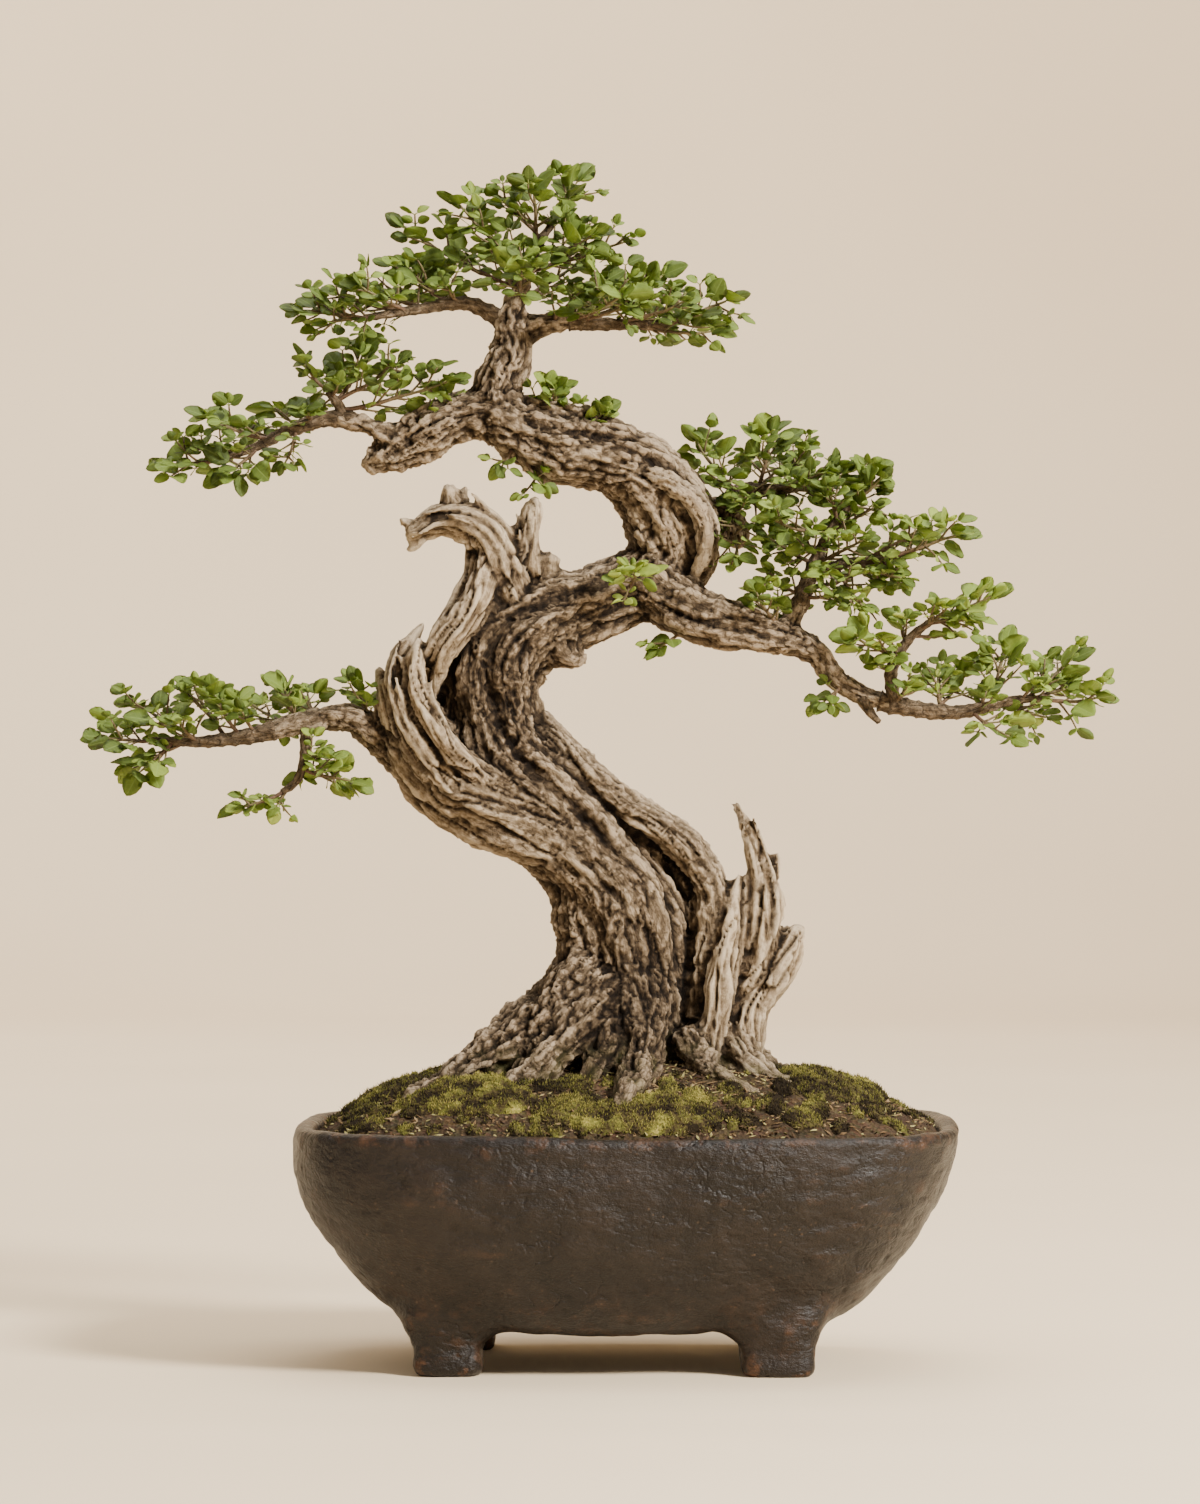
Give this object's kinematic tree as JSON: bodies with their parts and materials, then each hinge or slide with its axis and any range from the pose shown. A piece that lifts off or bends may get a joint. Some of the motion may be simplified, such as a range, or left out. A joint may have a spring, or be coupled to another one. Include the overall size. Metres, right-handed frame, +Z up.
{
  "type": "potted bonsai tree",
  "caption": "Free-standing bonsai with an S-shaped old trunk, bare dead-wood spires, layered leafy pads, mossy soil and an oval four-footed stoneware pot.",
  "frame": {"origin": "on the table surface, under the middle of the whole plant with its pot", "axes": "+Z up, +Y away from the viewer towards the back of the tree, +X to the viewer's right"},
  "size_m": [0.5163, 0.2296, 0.5994],
  "materials": {
    "pot": "dark umber unglazed stoneware, semi-matte with worn brown edges",
    "drain_screens": "matte black plastic mesh",
    "soil": "dark brown granular soil, matt",
    "moss": "yellow-green short moss",
    "wood": "grey-brown flaky bark with pale weathered dead wood",
    "foliage": "mid-green leaves with a slight sheen on brown twigs"
  },
  "bodies": {
    "root": {"pot": "pot", "drain_screen_left": "drain_screens", "drain_screen_right": "drain_screens", "soil": "soil", "moss_left": "moss", "moss_front_left": "moss", "moss_front": "moss", "moss_right": "moss", "moss_back": "moss", "trunk": "wood", "spray_leader_1": "foliage", "spray_leader_2": "foliage", "spray_leader_3": "foliage", "spray_leader_4": "foliage", "spray_leader_5": "foliage", "spray_leader_6": "foliage", "spray_leader_7": "foliage", "spray_crown_left_1": "foliage", "spray_crown_left_2": "foliage", "spray_crown_left_3": "foliage", "spray_crown_left_4": "foliage", "spray_crown_right_1": "foliage", "spray_crown_right_2": "foliage", "spray_crown_right_3": "foliage", "spray_crown_right_4": "foliage", "spray_crown_right_5": "foliage", "spray_upper_left_1": "foliage", "spray_upper_left_2": "foliage", "spray_upper_left_3": "foliage", "spray_upper_left_4": "foliage", "spray_upper_left_rise_1": "foliage", "spray_upper_left_rise_2": "foliage", "spray_upper_left_rise_3": "foliage", "spray_lower_left_1": "foliage", "spray_lower_left_2": "foliage", "spray_lower_left_3": "foliage", "spray_lower_left_4": "foliage", "spray_lower_left_5": "foliage", "spray_lower_left_6": "foliage", "spray_lower_left_hang_1": "foliage", "spray_lower_left_hang_2": "foliage", "spray_great_1": "foliage", "spray_great_2": "foliage", "spray_great_3": "foliage", "spray_great_4": "foliage", "spray_great_5": "foliage", "spray_great_rise_1": "foliage", "spray_great_rise_2": "foliage", "spray_great_rise_3": "foliage", "spray_great_mid_1": "foliage", "spray_great_arm_1": "foliage", "spray_great_arm_2": "foliage", "spray_back_bough_1": "foliage", "spray_back_bough_2": "foliage", "spray_back_bough_3": "foliage", "spray_back_bough_4": "foliage", "spray_trunk_front": "foliage", "spray_trunk_top_left": "foliage", "spray_trunk_top_right": "foliage", "spray_trunk_under": "foliage"}
  },
  "joints": []
}
